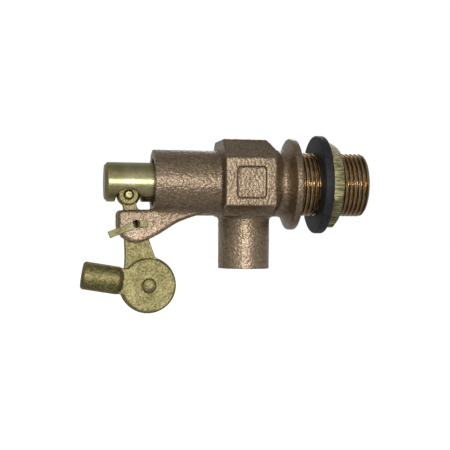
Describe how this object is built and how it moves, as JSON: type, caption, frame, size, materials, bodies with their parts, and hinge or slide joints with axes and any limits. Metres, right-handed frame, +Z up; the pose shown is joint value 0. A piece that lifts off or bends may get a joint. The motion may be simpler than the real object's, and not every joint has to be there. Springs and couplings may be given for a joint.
{
  "type": "float valve",
  "caption": "Cast bronze float valve: threaded tank inlet, downward spout, sliding plunger worked by a pinned lever with a rod socket for a float arm.",
  "frame": {"origin": "on the inlet axis, at the flange's sealing face that seats against the tank wall", "axes": "+X out of the tank along the threaded shank, +Z up, -Y towards the face with the square recess; the plunger, lever and rod socket are on the -X side"},
  "size_m": [0.1489, 0.0516, 0.0932],
  "materials": {
    "cast_bronze": "as cast and shot blasted, dull",
    "machined_brass": "machined, satin",
    "nut_brass": "machined, satin, with tool marks",
    "split_pin_brass": "drawn wire, bright",
    "black_rubber": "moulded, matt"
  },
  "bodies": {
    "valve": {"valve_body": "cast_bronze", "seat_ring": "machined_brass", "pivot_cotter": "split_pin_brass"},
    "lever": {"lever": "machined_brass", "plunger_pin": "machined_brass", "clamp_bolt": "machined_brass", "clamp_lock_washer": "machined_brass", "clamp_nut": "machined_brass"},
    "piston": {"plunger": "machined_brass", "plunger_o_ring": "black_rubber", "seat_disc": "black_rubber", "disc_retainer": "machined_brass", "disc_screw": "machined_brass"},
    "rod_arm": {"rod_holder": "machined_brass"},
    "gasket": {"tank_gasket": "black_rubber"},
    "locknut": {"locknut": "nut_brass"}
  },
  "joints": [
    {"name": "lever_swing", "type": "hinge", "parent": "valve", "child": "lever", "pos_m": [-0.0839, 0, -0.0215], "axis": [0, 1, 0], "range_deg": [0, 22]},
    {"name": "piston_stroke", "type": "slide", "parent": "valve", "child": "piston", "axis": [1, 0, 0], "range_m": [0, 0.00588]},
    {"name": "rod_angle", "type": "hinge", "parent": "lever", "child": "rod_arm", "pos_m": [-0.0773, 0, -0.0528], "axis": [0, 1, 0], "range_deg": [-45, 5]},
    {"name": "gasket_travel", "type": "slide", "parent": "valve", "child": "gasket", "axis": [1, 0, 0], "range_m": [-0.01, 0.012]},
    {"name": "locknut_turn", "type": "hinge", "parent": "gasket", "child": "locknut", "pos_m": [0.01875, 0, 0], "axis": [1, 0, 0], "range_deg": [-1700, 1900]}
  ],
  "couplings": [
    {"joint": "piston_stroke", "follows": "lever_swing", "m_per_rad": 0.01531},
    {"joint": "locknut_turn", "follows": "gasket_travel", "rad_per_m": 2721.2}
  ]
}
